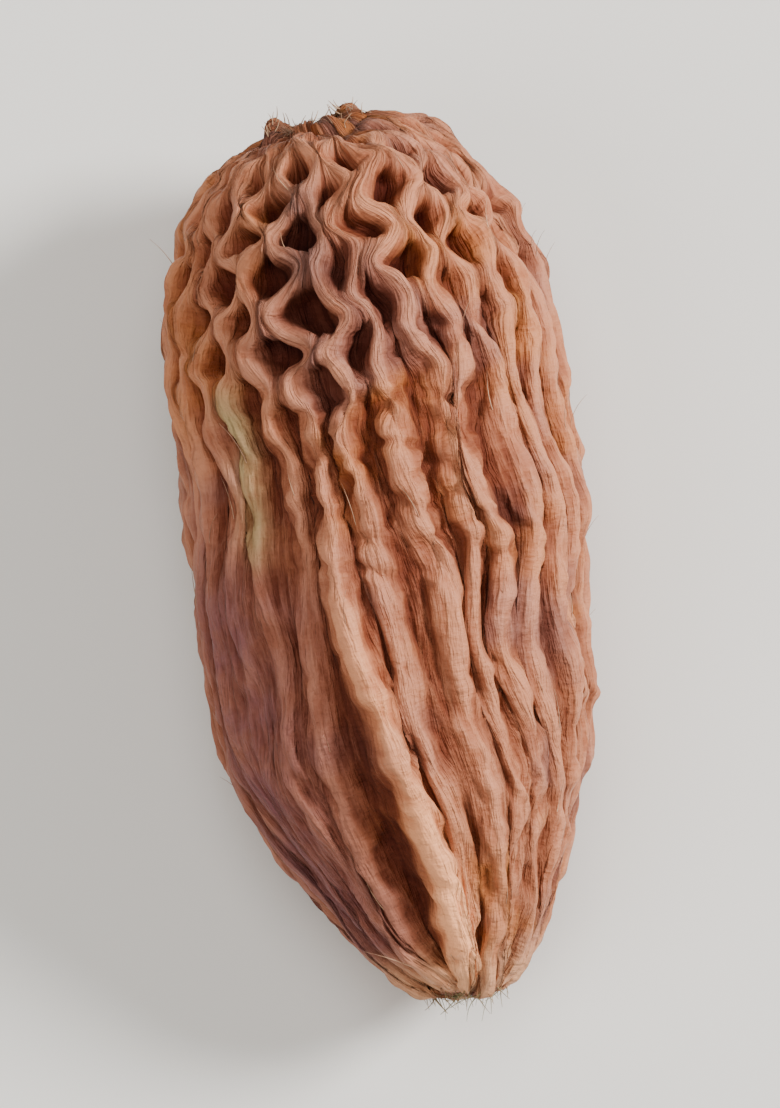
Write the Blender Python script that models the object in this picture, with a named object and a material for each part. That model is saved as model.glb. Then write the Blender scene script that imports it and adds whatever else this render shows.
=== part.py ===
"""Dried black cardamom pod, lying on its side.

The husk is one grown piece, so it is one solid. An outline is turned about a gently bent
centre line. Crest lines run the length of the husk: they wander, run together towards the
stalk, and knit into a raised net round the flower end. Metres, +Z up, +Y at the flower end.

A place is a share of the outline's own length, from 0 at the stalk scar to 1 in the flower cup.
A stretch is four places: it fades in between the first two and out between the last two.
"""

import math

import bmesh
import bpy
import numpy as np

# Overall size of the husk.
POD_LENGTH = 0.0270
POD_WIDTH = 0.0121
POD_DEPTH = 0.0117

# Outline from the middle of the stalk scar to the bottom of the dried flower's cup.
# Each pair is a share of the length and a share of the half width.
OUTLINE = (
    (0.012, 0.00),
    (0.000, 0.18),
    (0.013, 0.30),
    (0.048, 0.43),
    (0.124, 0.62),
    (0.190, 0.765),
    (0.267, 0.88),
    (0.360, 0.96),
    (0.490, 1.00),
    (0.640, 0.98),
    (0.770, 0.935),
    (0.865, 0.84),
    (0.925, 0.70),
    (0.960, 0.54),
    (0.979, 0.38),
    (0.986, 0.27),
    (1.000, 0.225),
    (0.994, 0.15),
    (0.974, 0.08),
    (0.968, 0.00),
)
SIDE_BEND = 0.0004  # how far the centre line swings to either side
BACK_BEND = 0.0005  # how far the back arches up at the middle
LOBE_SHARE = 0.035  # how far the three chambers of seeds push the husk out
LOBE_ANGLE = math.radians(75)
DENT_SHARE = 0.022  # shallow hollows where the husk shrank
DENT_TWIST = (1.3, 0.9)  # how the hollows wind round the husk

# Crests and valleys. A crest's angle is counted round the centre line from +X towards +Z.
# Crest 0 is the keel on top.
SEED = 8
CRESTS = 30
KEEL_STALK_ANGLE = math.radians(86)
KEEL_FLOWER_ANGLE = math.radians(114)
KEEL_TURN = (0.10, 0.70)
STALK_VALLEY_DEPTH, VALLEY_DEPTH = 0.00034, 0.00058
VALLEY_TURN = (0.28, 0.62)  # where the valleys turn from shallow to deep
VALLEY_SLOPE, NET_SLOPE = 0.70, 1.30  # how fast a valley deepens as it widens
VALLEY_WEB, NET_WEB = 0.00028, 0.00060  # crests closer than this are one
FOLD_POWER = 1.4  # over 1 makes the crests narrower than the valleys between them
WANDER = 0.16  # how unevenly the crests are spread
WANDER_TURNS = (1.1, 2.6, 5.3)
SWING = 0.45  # furthest swing of a crest, as a share of the gap: nearly half, so crests meet
SWAY = 0.24  # how strongly each free crest sways
KEEL_SWAY = 0.4  # the keel is straighter than the other crests
CREST_VARIATION = 0.00016
BRANCH_DROP = 0.00016  # how far below the others the lowest of the odd crests stays
FORK_FROM, FORK_TO = 0.14, 0.44  # where odd crests leave their neighbours
FORK_BLEND = 0.10
FORKED_GAP = 0.16
RELIEF_ALONG = (0.0, 0.055, 0.895, 0.93)  # the scar and the cup stay smooth

# The keel, the wide deep groove beside it, and the two smooth faces on either side of both.
# Each face has its stretch, its angle, its spread, and how much of the relief it loses.
GROOVE_ALONG = (0.04, 0.12, 0.42, 0.56)
GROOVE_WIDTH = 2.0
GROOVE_DEPTH = 0.00080
GROOVE_BANK = 0.00050  # how wide the rounded banks of the groove are
KEEL_RISE = 0.00030
CALM_FACES = (
    ((0.08, 0.20, 0.45, 0.60), math.radians(148), math.radians(30), 0.82),
    ((0.05, 0.12, 0.22, 0.38), math.radians(48), math.radians(24), 0.62),
)

# The raised net round the flower end.
NET_FROM, NET_FULL = 0.59, 0.78
NET_RAGGED = 0.04  # how far the net's start differs from crest to crest
NET_LEAN, NET_LEAN_TURN = 0.04, 0.15  # the net reaches further down on the keel's left side
NET_PITCH = 0.0024
NET_SLACK = 0.14  # how much the swing differs from place to place
NET_UNEVEN = 0.26
NET_DRIFT = 0.34
NET_DEPTH = 0.00095
STRAND_RADIUS = 0.00052
NET_BRIDGES = (0.05, 0.70)  # strands that don't quite meet are bridged, so gaps become pits

# The torn edge of the dried flower's cup: how many teeth go round, their size and their turn.
RIM_ALONG = (0.925, 0.945, 0.952, 0.975)
RIM_TEAR = 0.00014
RIM_TEETH = ((3, 1.0, 0.4), (8, 0.7, 1.9))

# How it lies.
TILT = math.radians(4.5)
FLAT_DEPTH = 0.00065  # how far the lowest crests are pressed flat

# Mesh of the solid: columns follow each crest, and rows crowd together in the net.
COLUMN_SHARES = (0.0, 0.32, 0.68)
ROW_COUNTS = (0, 5, 23, 59, 65)
ROW_PLACES = (0.0, 0.08, 0.48, 0.91, 1.0)
OUTLINE_STEPS = 2000

HUSK_BROWN = (0.31, 0.135, 0.085, 1.0)
HUSK_ROUGHNESS = 0.62


def smoothstep(low, high, value):
    share = np.clip((value - low) / (high - low), 0.0, 1.0)
    return share * share * (3.0 - 2.0 * share)


def mix(first, second, share):
    return first + (second - first) * share


def along_stretch(stretch, place):
    """1 along the stretch and 0 beyond it."""
    return smoothstep(*stretch[:2], place) * (1.0 - smoothstep(*stretch[2:], place))


def next_crest(values):
    """Each crest's value, moved to the crest before it. Crests are the second axis."""
    return np.roll(values, -1, axis=1)


def traced_outline():
    """Arc length, position along and across, and outward normal, at many points of the outline."""
    knots = np.array(OUTLINE) * (POD_LENGTH, POD_WIDTH / 2)
    chord = np.concatenate(([0.0], np.cumsum(np.linalg.norm(np.diff(knots, axis=0), axis=1))))
    slopes = np.gradient(knots, chord, axis=0)
    steps = np.linspace(0.0, chord[-1], OUTLINE_STEPS)
    i = np.clip(np.searchsorted(chord, steps, side="right") - 1, 0, len(chord) - 2)
    span = (chord[i + 1] - chord[i])[:, None]
    u = (steps - chord[i])[:, None] / span
    points = (
        (2 * u**3 - 3 * u**2 + 1) * knots[i]
        + (u**3 - 2 * u**2 + u) * span * slopes[i]
        + (3 * u**2 - 2 * u**3) * knots[i + 1]
        + (u**3 - u**2) * span * slopes[i + 1]
    )
    arc = np.concatenate(([0.0], np.cumsum(np.linalg.norm(np.diff(points, axis=0), axis=1))))
    tangent = np.gradient(points, arc, axis=0)
    tangent /= np.linalg.norm(tangent, axis=1)[:, None]
    normal = np.column_stack((-tangent[:, 1], tangent[:, 0]))
    return arc, np.maximum(points, (-1.0, 0.0)), normal


def random_draws():
    """Every random number of the husk, one row or value for each crest."""
    generator = np.random.default_rng(SEED)
    return {
        "meander": generator.normal(0.0, NET_UNEVEN, CRESTS),
        "drift": generator.random((CRESTS, 3)),
        "slack": generator.random((CRESTS, 3)),
        "net": generator.uniform(-1.0, 1.0, CRESTS),
        "spread": generator.random((CRESTS, 3)),
        "fork": generator.random(CRESTS),
        "height": generator.random((CRESTS, 3)),
        "drop": generator.random(CRESTS),
        "sway": generator.random((CRESTS, 3)),
    }


def waves(phases, place):
    """One gentle random curve for each row of phases, read at each place."""
    turns = np.array(WANDER_TURNS)
    angles = 2 * math.pi * (turns * place[:, None, None] + phases[None, :, :])
    return (np.sin(angles) / np.sqrt(turns)).sum(axis=2)


def knitted(place, draws):
    """For each crest, 0 where it runs free and 1 where it is knitted into the net."""
    lean = NET_LEAN * np.cos(2 * math.pi * (np.arange(CRESTS) / CRESTS - NET_LEAN_TURN))
    return smoothstep(NET_FROM, NET_FULL, place[:, None] + lean + NET_RAGGED * draws["net"])


def crest_gaps(place, draws):
    """Angle from each crest to the next one, before the net pulls them about."""
    gap = np.exp(WANDER * waves(draws["spread"], place))
    fork = mix(FORK_FROM, FORK_TO, draws["fork"])
    opened = smoothstep(fork - FORK_BLEND, fork + FORK_BLEND, place[:, None])
    odd = np.arange(CRESTS) % 2 == 1
    gap *= np.where(odd, mix(FORKED_GAP, 1.0, opened), 1.0)
    gap[:, 0] *= mix(1.0, GROOVE_WIDTH, along_stretch(GROOVE_ALONG, place))
    return gap * 2 * math.pi / gap.sum(axis=1, keepdims=True)


def net_phase(place, arc_length, draws):
    """How far each crest has gone through its meanders. Neighbours are half a turn apart."""
    turn = 2 * math.pi * place[:, None] * arc_length / NET_PITCH + math.pi * np.arange(CRESTS)
    return turn + draws["meander"] + NET_DRIFT * waves(draws["drift"], place)


def bridged(place, arc_length, draws):
    """For each gap, 1 where the strands beside it come together and 0 where they part."""
    phase = net_phase(place, arc_length, draws)
    following = next_crest(phase)
    following[:, -1] += math.pi * CRESTS
    return smoothstep(*NET_BRIDGES, np.cos((phase + following - math.pi) / 2))


def crest_lines(place, arc_length, draws):
    """Angle of each crest and the gap to the next one, at each place."""
    gap = crest_gaps(place, draws)
    keel = mix(KEEL_STALK_ANGLE, KEEL_FLOWER_ANGLE, smoothstep(*KEEL_TURN, place))
    angle = keel[:, None] + np.cumsum(gap, axis=1) - gap
    meander = np.cos(net_phase(place, arc_length, draws))
    slack = np.clip(1 + NET_SLACK * waves(draws["slack"], place), 0.3, 1.1)
    sway = np.clip(SWAY * waves(draws["sway"], place), -SWING, SWING)
    sway[:, 0] *= KEEL_SWAY
    room = np.minimum(gap, np.roll(gap, 1, axis=1))
    angle += mix(sway, SWING * slack * meander, knitted(place, draws)) * room
    following = next_crest(angle)
    following[:, -1] += 2 * math.pi
    return angle, following - angle


def roughness_left(place, theta):
    """How much of the relief is left: 1 nearly everywhere, and less on the smooth faces."""
    left = np.ones_like(theta)
    for stretch, middle, spread, loss in CALM_FACES:
        turned = (theta - middle + math.pi) % (2 * math.pi) - math.pi
        calm = np.exp(-((turned / spread) ** 2)) * along_stretch(stretch, place)[:, None, None]
        left = left * (1 - loss * calm)
    return left


def valley_depths(place, width, knit):
    """How deep the husk may lie between each two crests."""
    free = mix(STALK_VALLEY_DEPTH, VALLEY_DEPTH, smoothstep(*VALLEY_TURN, place))[:, None, None]
    open_width = np.maximum(width - mix(VALLEY_WEB, NET_WEB, knit), 0.0)
    depth = np.minimum(mix(free, NET_DEPTH, knit), mix(VALLEY_SLOPE, NET_SLOPE, knit) * open_width)
    groove = along_stretch(GROOVE_ALONG, place)[:, None]
    depth[:, 0] = mix(depth[:, 0], GROOVE_DEPTH, groove)
    return depth


def cross_section(share, width, slant, knit, groove):
    """1 on a crest and 0 at the bottom of a valley, with its shape in between."""
    away = 1 - np.abs(2 * share - 1)
    fold = (0.5 + 0.5 * np.cos(math.pi * away)) ** FOLD_POWER
    off_crest = away * width / 2 / np.sqrt(1 + slant**2)
    strand = np.exp(-((off_crest / STRAND_RADIUS) ** 2))
    bank = np.exp(-((off_crest[:, :1] / GROOVE_BANK) ** 2))
    ridge = mix(fold, strand, knit)
    ridge[:, :1] = mix(ridge[:, :1], bank, groove)
    return ridge


def relief(place, arc_at, share, angle, gap, radius, draws):
    """Height of the husk over its outline: about 0 on the crests, and less in the valleys."""
    knit = knitted(place, draws)
    knit = (knit + next_crest(knit))[:, :, None] / 2
    theta = angle[:, :, None] + gap[:, :, None] * share
    width = gap[:, :, None] * radius[:, None, None]
    slant = np.gradient(angle, arc_at, axis=0) * radius[:, None]
    slant = mix(slant[:, :, None], next_crest(slant)[:, :, None], share)
    groove = along_stretch(GROOVE_ALONG, place)
    ridge = cross_section(share, width, slant, knit, groove[:, None, None])
    depth = valley_depths(place, width, knit)
    depth = depth * (1 - knit * bridged(place, arc_at[-1], draws)[:, :, None])
    valley = depth * roughness_left(place, theta) * (1 - ridge)
    odd = np.arange(CRESTS) % 2 == 1
    crest = CREST_VARIATION * waves(draws["height"], place)
    crest -= BRANCH_DROP * odd * draws["drop"] * (1 - knitted(place, draws))
    crest[:, 0] += KEEL_RISE * groove
    level = mix(crest[:, :, None], next_crest(crest)[:, :, None], share)
    return (level - valley) * along_stretch(RELIEF_ALONG, place)[:, None, None]


def torn_rim(place, theta):
    """How far the edge of the flower cup is torn back."""
    teeth = 1.0 + sum(size * np.sin(count * theta + turn) for count, size, turn in RIM_TEETH)
    return RIM_TEAR * teeth * along_stretch(RIM_ALONG, place)[:, None, None]


def fullness(theta, y):
    """The seed chambers and the hollows, as a factor on the distance from the centre line."""
    belly = np.sin(math.pi * np.clip(y / POD_LENGTH, 0.0, 1.0))
    lobes = 1 + LOBE_SHARE * belly * np.cos(3 * (theta - LOBE_ANGLE))
    first, second = (twist * 2 * math.pi * y / POD_LENGTH for twist in DENT_TWIST)
    return lobes * (1 + DENT_SHARE * belly * np.sin(2 * theta + first) * np.cos(theta - second))


def husk_points(place, share):
    """Points of the upright husk, one row for each place and CRESTS * len(share) to a row."""
    draws = random_draws()
    arc, outline, normal = traced_outline()
    at = place * arc[-1]
    along, radius = (np.interp(at, arc, outline[:, i]) for i in (0, 1))
    lift_along, lift_across = (np.interp(at, arc, normal[:, i]) for i in (0, 1))
    angle, gap = crest_lines(place, arc[-1], draws)
    height = relief(place, at, np.array(share), angle, gap, radius, draws)
    theta = angle[:, :, None] + gap[:, :, None] * np.array(share)
    y = along[:, None, None] + height * lift_along[:, None, None] - torn_rim(place, theta)
    across = radius[:, None, None] * fullness(theta, y) + height * lift_across[:, None, None]
    middle = y / POD_LENGTH - 0.5
    x = across * np.cos(theta) + SIDE_BEND * np.sin(2 * math.pi * middle)
    z = across * np.sin(theta) * POD_DEPTH / POD_WIDTH + BACK_BEND * (1 - 4 * middle**2)
    return np.stack((x, y, z), axis=-1).reshape(len(place), -1, 3)


def laid_down(points):
    """The points tilted, set on z = 0 with the lowest crests flat, and centred on the origin."""
    x, y, z = np.moveaxis(points, -1, 0)
    tilted_y = y * math.cos(TILT) - z * math.sin(TILT)
    tilted_z = y * math.sin(TILT) + z * math.cos(TILT)
    tilted_z = np.maximum(tilted_z - tilted_z.min() - FLAT_DEPTH, 0.0)
    x = x - (x.min() + x.max()) / 2
    tilted_y = tilted_y - (tilted_y.min() + tilted_y.max()) / 2
    return np.stack((x, tilted_y, tilted_z), axis=-1)


def make_husk(material):
    """A sphere's rings and segments, moved to the rows and columns of the husk."""
    segments, rings = CRESTS * len(COLUMN_SHARES), ROW_COUNTS[-1]
    place = np.interp(np.arange(rings + 1), ROW_COUNTS, ROW_PLACES)
    points = laid_down(husk_points(place, COLUMN_SHARES))
    shape = bmesh.new()
    bmesh.ops.create_uvsphere(shape, u_segments=segments, v_segments=rings, radius=1.0)
    for vertex in shape.verts:
        ring = round(math.acos(max(-1.0, min(1.0, -vertex.co.z))) / math.pi * rings)
        segment = round(-math.atan2(vertex.co.y, vertex.co.x) / (2 * math.pi) * segments)
        vertex.co = points[ring, segment % segments]
    bmesh.ops.triangulate(shape, faces=shape.faces, quad_method="SHORT_EDGE")
    mesh = bpy.data.meshes.new("pod")
    shape.to_mesh(mesh)
    shape.free()
    mesh.shade_smooth()
    mesh.materials.append(material)
    return bpy.data.objects.new("pod", mesh)


def make_material():
    material = bpy.data.materials.new("dried husk")
    material.use_nodes = True
    shader = material.node_tree.nodes["Principled BSDF"]
    shader.inputs["Base Color"].default_value = HUSK_BROWN
    shader.inputs["Roughness"].default_value = HUSK_ROUGHNESS
    shader.inputs["Metallic"].default_value = 0.0
    return material


def main():
    for old in list(bpy.data.objects):
        bpy.data.objects.remove(old)
    collection = bpy.data.collections.new("black_cardamom_pod")
    bpy.context.scene.collection.children.link(collection)
    collection.objects.link(make_husk(make_material()))


main()
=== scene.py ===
# %% [markdown]
# # A dried black cardamom pod
#
# The real thing is the sun and smoke dried fruit of a tall ginger-like plant. Its husk is about
# 27 mm long, tough and papery, and it shrank round three chambers of seeds as it dried. That
# shrinking raised everything that meets the eye: long crests, a net round the flower end, fine
# wrinkles and fibres. The frame gives the size, the place and the main crests. This script
# builds the fine skin on them and gives it its colours.

# %% Load the frame
import math

import bpy
import numpy as np
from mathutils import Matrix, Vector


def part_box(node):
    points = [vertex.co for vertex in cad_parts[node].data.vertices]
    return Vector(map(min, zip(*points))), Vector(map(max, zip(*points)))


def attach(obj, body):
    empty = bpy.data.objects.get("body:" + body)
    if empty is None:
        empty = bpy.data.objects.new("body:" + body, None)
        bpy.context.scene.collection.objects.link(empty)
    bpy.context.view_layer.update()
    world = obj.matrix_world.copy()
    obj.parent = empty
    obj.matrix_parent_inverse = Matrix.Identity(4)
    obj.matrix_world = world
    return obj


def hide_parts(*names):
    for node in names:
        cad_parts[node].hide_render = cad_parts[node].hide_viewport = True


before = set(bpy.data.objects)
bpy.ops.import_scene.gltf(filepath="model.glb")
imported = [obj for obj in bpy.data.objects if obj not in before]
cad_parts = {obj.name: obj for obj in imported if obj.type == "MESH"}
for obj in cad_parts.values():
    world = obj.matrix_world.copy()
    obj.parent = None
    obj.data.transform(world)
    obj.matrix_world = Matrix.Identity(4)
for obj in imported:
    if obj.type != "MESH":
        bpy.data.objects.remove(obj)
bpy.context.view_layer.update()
POD_LOW, POD_HIGH = (np.array(corner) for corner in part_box("pod"))
MM = 0.001
print("pieces in the frame:", len(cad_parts))
print("pod box in mm:", np.round((POD_HIGH - POD_LOW) / MM, 2))

# %% [markdown]
# ## Three helpers
#
# Colours are read off a photo as sRGB hex values, but shaders add up light, so they need linear
# values. One function turns the first into the second. A second one adds any node, with its
# settings, its values and its links, so that every tree below reads as a list of steps. A third
# one makes a material.

# %% Colour, node and material helpers
# The kinds of node used most, named for what they do.
NUMBER, VECTOR, REMAP = "ShaderNodeMath", "ShaderNodeVectorMath", "ShaderNodeMapRange"
NOISE, BLEND, READ = "ShaderNodeTexNoise", "ShaderNodeMix", "GeometryNodeInputNamedAttribute"


def srgb(code):
    """An sRGB hex colour as a linear colour with full alpha."""
    channels = [int(code[i : i + 2], 16) / 255 for i in (1, 3, 5)]
    linear = [c / 12.92 if c <= 0.04045 else ((c + 0.055) / 1.055) ** 2.4 for c in channels]
    return (*linear, 1.0)


def add(tree, kind, inputs=None, stops=None, out=0, **settings):
    """Adds a node and gives one of its outputs. An input is a socket to link from or a value."""
    made = tree.nodes.new(kind)
    for name, value in settings.items():
        setattr(made, name, value)
    for key, value in (inputs or {}).items():
        if isinstance(value, bpy.types.NodeSocket):
            tree.links.new(value, made.inputs[key])
        else:
            made.inputs[key].default_value = value
    for i, (at, code) in enumerate(stops or ()):
        elements = made.color_ramp.elements
        element = elements[i] if i < len(elements) else elements.new(at)
        element.position = at
        element.color = srgb(code)
    return made.outputs[out] if made.outputs else made


def new_material(name):
    """A material, its tree and its shader."""
    material = bpy.data.materials.new(name)
    material.use_nodes = True
    tree = material.node_tree
    return material, tree, tree.nodes["Principled BSDF"]


print("the husk's middle brown in linear light:", np.round(srgb("#976652")[:3], 3))

# %% [markdown]
# ## Camera, light and floor
#
# The pod stands nearly upright in the photo, with its flower end up and leaning a little to the
# left. A loose pod lies on its side, so the camera looks down on it instead. Light comes from a
# large soft panel on the right, low enough to rake across the crests, with weaker light from
# the left and above. The floor is plain and pale.

# %% Camera
CAMERA_AZIMUTH = math.radians(-10)
CAMERA_ELEVATION = math.radians(88)
CAMERA_DISTANCE = 0.36
FRAME_SHARE = 0.80  # how much of the picture's height the pod's length takes
SENSOR_HEIGHT = 24.0
NEAREST_SEEN = 0.01


def toward(azimuth, elevation):
    """Unit vector from the pod to something seen at this azimuth and elevation."""
    flat = math.cos(elevation)
    return np.array(
        (math.sin(azimuth) * flat, -math.cos(azimuth) * flat, math.sin(elevation))
    )


def make_camera():
    middle = (POD_LOW + POD_HIGH) / 2
    data = bpy.data.cameras.new("camera")
    data.sensor_fit = "VERTICAL"
    data.sensor_height = SENSOR_HEIGHT
    seen_height = (POD_HIGH[1] - POD_LOW[1]) / FRAME_SHARE
    data.lens = SENSOR_HEIGHT * CAMERA_DISTANCE / seen_height
    data.clip_start = NEAREST_SEEN
    camera = bpy.data.objects.new("camera", data)
    camera.location = middle + toward(CAMERA_AZIMUTH, CAMERA_ELEVATION) * CAMERA_DISTANCE
    camera.rotation_euler = (math.pi / 2 - CAMERA_ELEVATION, 0.0, CAMERA_AZIMUTH)
    bpy.context.scene.collection.objects.link(camera)
    bpy.context.scene.camera = camera
    return camera


print("lens in mm:", round(make_camera().data.lens, 1))


# %% Lights
# Azimuth and elevation in degrees, distance and width in metres, and power in watts.
LIGHTS = {
    "key light": (100, 36, 0.30, 0.09, 1.7),
    "fill light": (-75, 50, 0.35, 0.25, 0.5),
    "top light": (180, 75, 0.40, 0.20, 0.7),
}
ROOM_COLOUR, ROOM_LIGHT = "#f4f1ec", 0.34


def make_light(name, azimuth, elevation, distance, size, power):
    data = bpy.data.lights.new(name, "AREA")
    data.shape = "DISK"
    data.size = size
    data.energy = power
    light = bpy.data.objects.new(name, data)
    away = toward(math.radians(azimuth), math.radians(elevation))
    light.location = away * distance
    light.rotation_euler = (math.pi / 2 - math.radians(elevation), 0.0, math.radians(azimuth))
    bpy.context.scene.collection.objects.link(light)


def make_world():
    world = bpy.data.worlds.new("soft room")
    world.use_nodes = True
    background = world.node_tree.nodes["Background"]
    background.inputs["Color"].default_value = srgb(ROOM_COLOUR)
    background.inputs["Strength"].default_value = ROOM_LIGHT
    bpy.context.scene.world = world


for name, facts in LIGHTS.items():
    make_light(name, *facts)
make_world()
print("lights:", ", ".join(LIGHTS))

# %% Floor
FLOOR_SIZE = 4.0
FLOOR_COLOUR, FLOOR_ROUGHNESS = "#e4e0d9", 0.9


def make_floor():
    """A plain matte board, so that only the pod's soft shadow shows on it."""
    material, _, shader = new_material("pale floor")
    shader.inputs["Base Color"].default_value = srgb(FLOOR_COLOUR)
    shader.inputs["Roughness"].default_value = FLOOR_ROUGHNESS
    bpy.ops.mesh.primitive_plane_add(size=FLOOR_SIZE)
    floor = bpy.context.object
    floor.name = "floor"
    floor.data.materials.append(material)


make_floor()
print("width of the floor in metres:", FLOOR_SIZE)

# %% [markdown]
# ## The husk's rule
#
# The husk is an outline turned about a slightly bent centre line. Crest lines run along it, each
# one an angle that changes with the place along the outline. Between two crests the skin falls
# into a valley. Towards the flower end the crests swing from side to side until neighbours meet,
# which knits them into a net. Strands that don't quite meet are bridged, so the gaps in the net
# are closed pits. The frame was made by this rule with few points. Here the same rule, with the
# same random draws, is read at many more, so the fine skin keeps the frame's form.
#
# A place is a share of the outline's own length, from 0 at the stalk scar to 1 in the flower
# cup. A stretch is four places: it fades in between the first two and out between the last two.

# %% Sizes of the husk
POD_LENGTH = 0.0270
POD_WIDTH = 0.0121
POD_DEPTH = 0.0117
# Along the pod and out from its centre line, as shares of its length and of half its width.
OUTLINE = (
    (0.012, 0.00),
    (0.000, 0.18),
    (0.013, 0.30),
    (0.048, 0.43),
    (0.124, 0.62),
    (0.190, 0.765),
    (0.267, 0.88),
    (0.360, 0.96),
    (0.490, 1.00),
    (0.640, 0.98),
    (0.770, 0.935),
    (0.865, 0.84),
    (0.925, 0.70),
    (0.960, 0.54),
    (0.979, 0.38),
    (0.986, 0.27),
    (1.000, 0.225),
    (0.994, 0.15),
    (0.974, 0.08),
    (0.968, 0.00),
)
OUTLINE_STEPS = 2000
SIDE_BEND = 0.0004  # the centre line swings this far to each side
BACK_BEND = 0.0005  # and arches up this far in the middle
LOBE_SHARE = 0.035  # how far the three seed chambers bulge, as a share of the radius
LOBE_ANGLE = math.radians(75)
DENT_SHARE = 0.022  # how deep the shallow dents are, as a share of the radius
DENT_TWIST = (1.3, 0.9)  # how many turns the dents wind along the pod
TILT = math.radians(4.5)  # how far the flower end is lifted
print("length to width:", round(POD_LENGTH / POD_WIDTH, 2))

# %% Crests, keel, groove and net
SEED = 8
CRESTS = 30
KEEL_STALK_ANGLE = math.radians(86)
KEEL_FLOWER_ANGLE = math.radians(114)
KEEL_TURN = (0.10, 0.70)
STALK_VALLEY_DEPTH, VALLEY_DEPTH = 0.00034, 0.00058
VALLEY_TURN = (0.28, 0.62)  # where the valleys turn from shallow to deep
VALLEY_SLOPE, NET_SLOPE = 0.70, 1.30  # how fast a valley deepens as it widens
VALLEY_WEB, NET_WEB = 0.00028, 0.00060  # crests closer than this are one
FOLD_POWER = 1.4  # over 1 makes the crests narrower than the valleys between them
WANDER = 0.16  # how unevenly the crests are spread
WANDER_TURNS = (1.1, 2.6, 5.3)
SWING = 0.45  # furthest swing of a crest, as a share of the gap: nearly half, so crests meet
SWAY = 0.24  # how strongly each free crest sways
KEEL_SWAY = 0.4  # the keel is straighter than the other crests
CREST_VARIATION = 0.00016
BRANCH_DROP = 0.00016  # how far below the others the lowest of the odd crests stays
FORK_FROM, FORK_TO = 0.14, 0.44  # where odd crests leave their neighbours
FORK_BLEND = 0.10
FORKED_GAP = 0.16
RELIEF_ALONG = (0.0, 0.055, 0.895, 0.93)  # the scar and the cup stay smooth
GROOVE_ALONG = (0.04, 0.12, 0.42, 0.56)
GROOVE_WIDTH = 2.0
GROOVE_DEPTH = 0.00080
GROOVE_BANK = 0.00050  # how wide the rounded banks of the groove are
KEEL_RISE = 0.00030
print("crests:", CRESTS)

# %% Smooth faces, net and rim
# Smoother faces: where along the pod, middle and spread round it, and how much relief is lost.
CALM_FACES = (
    ((0.08, 0.20, 0.45, 0.60), math.radians(148), math.radians(30), 0.82),
    ((0.05, 0.12, 0.22, 0.38), math.radians(48), math.radians(24), 0.62),
)
NET_FROM, NET_FULL = 0.59, 0.78
NET_RAGGED = 0.04  # how far the net's start differs from crest to crest
NET_LEAN, NET_LEAN_TURN = 0.04, 0.15  # the net reaches further down on the keel's left side
NET_PITCH = 0.0024  # from one meeting of two crests to the next
NET_SLACK = 0.14  # how much the swing differs from place to place
SLACK_RANGE = (0.3, 1.1)  # the least and the most of the full swing
NET_UNEVEN = 0.26  # how far a crest's meanders are out of step, in radians
NET_DRIFT = 0.34  # how much further out of step they drift along the crest
NET_DEPTH = 0.00095
STRAND_RADIUS = 0.00052
CREST_MARK_POWER = 4  # the higher it is, the nearer to a crest's top its mark stays
NET_BRIDGES = (0.05, 0.70)  # strands that don't quite meet are bridged, so gaps become pits
RIM_ALONG = (0.925, 0.945, 0.952, 0.975)
RIM_TEAR = 0.00014
RIM_TEETH = ((3, 1.0, 0.4), (8, 0.7, 1.9))  # how many, how deep and how far turned
# Crests with a colour of their own: the crest's number, its stretch and its half width.
MARKED_CRESTS = {
    "keel": (0, (0.02, 0.05, 0.38, 0.56), 0.48 * MM),
    # the keel near the tip: paler still, and lit further with a painted highlight
    "painted_keel_highlight": (0, (0.03, 0.07, 0.16, 0.34), 0.42 * MM),
    "straw": (2, (0.48, 0.53, 0.63, 0.69), 0.42 * MM),
}
print("from one meeting of two crests to the next, in mm:", round(NET_PITCH / MM, 1))


# %% Curves that the rule is made of
def smoothstep(low, high, value):
    share = np.clip((value - low) / (high - low), 0.0, 1.0)
    return share * share * (3.0 - 2.0 * share)


def mix(first, second, share):
    return first + (second - first) * share


def along_stretch(stretch, place):
    """1 along the stretch and 0 beyond it."""
    return smoothstep(*stretch[:2], place) * (1.0 - smoothstep(*stretch[2:], place))


def next_crest(values):
    """Each crest's value, moved to the crest before it. Crests are the second axis."""
    return np.roll(values, -1, axis=1)


def waves(phases, place):
    """One gentle random curve for each row of phases, read at each place."""
    turns = np.array(WANDER_TURNS)
    angles = 2 * math.pi * (turns * place[:, None, None] + phases[None, :, :])
    return (np.sin(angles) / np.sqrt(turns)).sum(axis=2)


# %% The outline
def traced_outline():
    """Arc length, position along and across, and outward normal, at many points of the outline."""
    knots = np.array(OUTLINE) * (POD_LENGTH, POD_WIDTH / 2)
    chord = np.concatenate(([0.0], np.cumsum(np.linalg.norm(np.diff(knots, axis=0), axis=1))))
    slopes = np.gradient(knots, chord, axis=0)
    steps = np.linspace(0.0, chord[-1], OUTLINE_STEPS)
    i = np.clip(np.searchsorted(chord, steps, side="right") - 1, 0, len(chord) - 2)
    span = (chord[i + 1] - chord[i])[:, None]
    u = (steps - chord[i])[:, None] / span
    points = (
        (2 * u**3 - 3 * u**2 + 1) * knots[i]
        + (u**3 - 2 * u**2 + u) * span * slopes[i]
        + (3 * u**2 - 2 * u**3) * knots[i + 1]
        + (u**3 - u**2) * span * slopes[i + 1]
    )
    arc = np.concatenate(([0.0], np.cumsum(np.linalg.norm(np.diff(points, axis=0), axis=1))))
    tangent = np.gradient(points, arc, axis=0)
    tangent /= np.linalg.norm(tangent, axis=1)[:, None]
    normal = np.column_stack((-tangent[:, 1], tangent[:, 0]))
    return arc, np.maximum(points, (-1.0, 0.0)), normal


print("the outline's own length in mm:", round(float(traced_outline()[0][-1]) / MM, 1))


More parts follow.
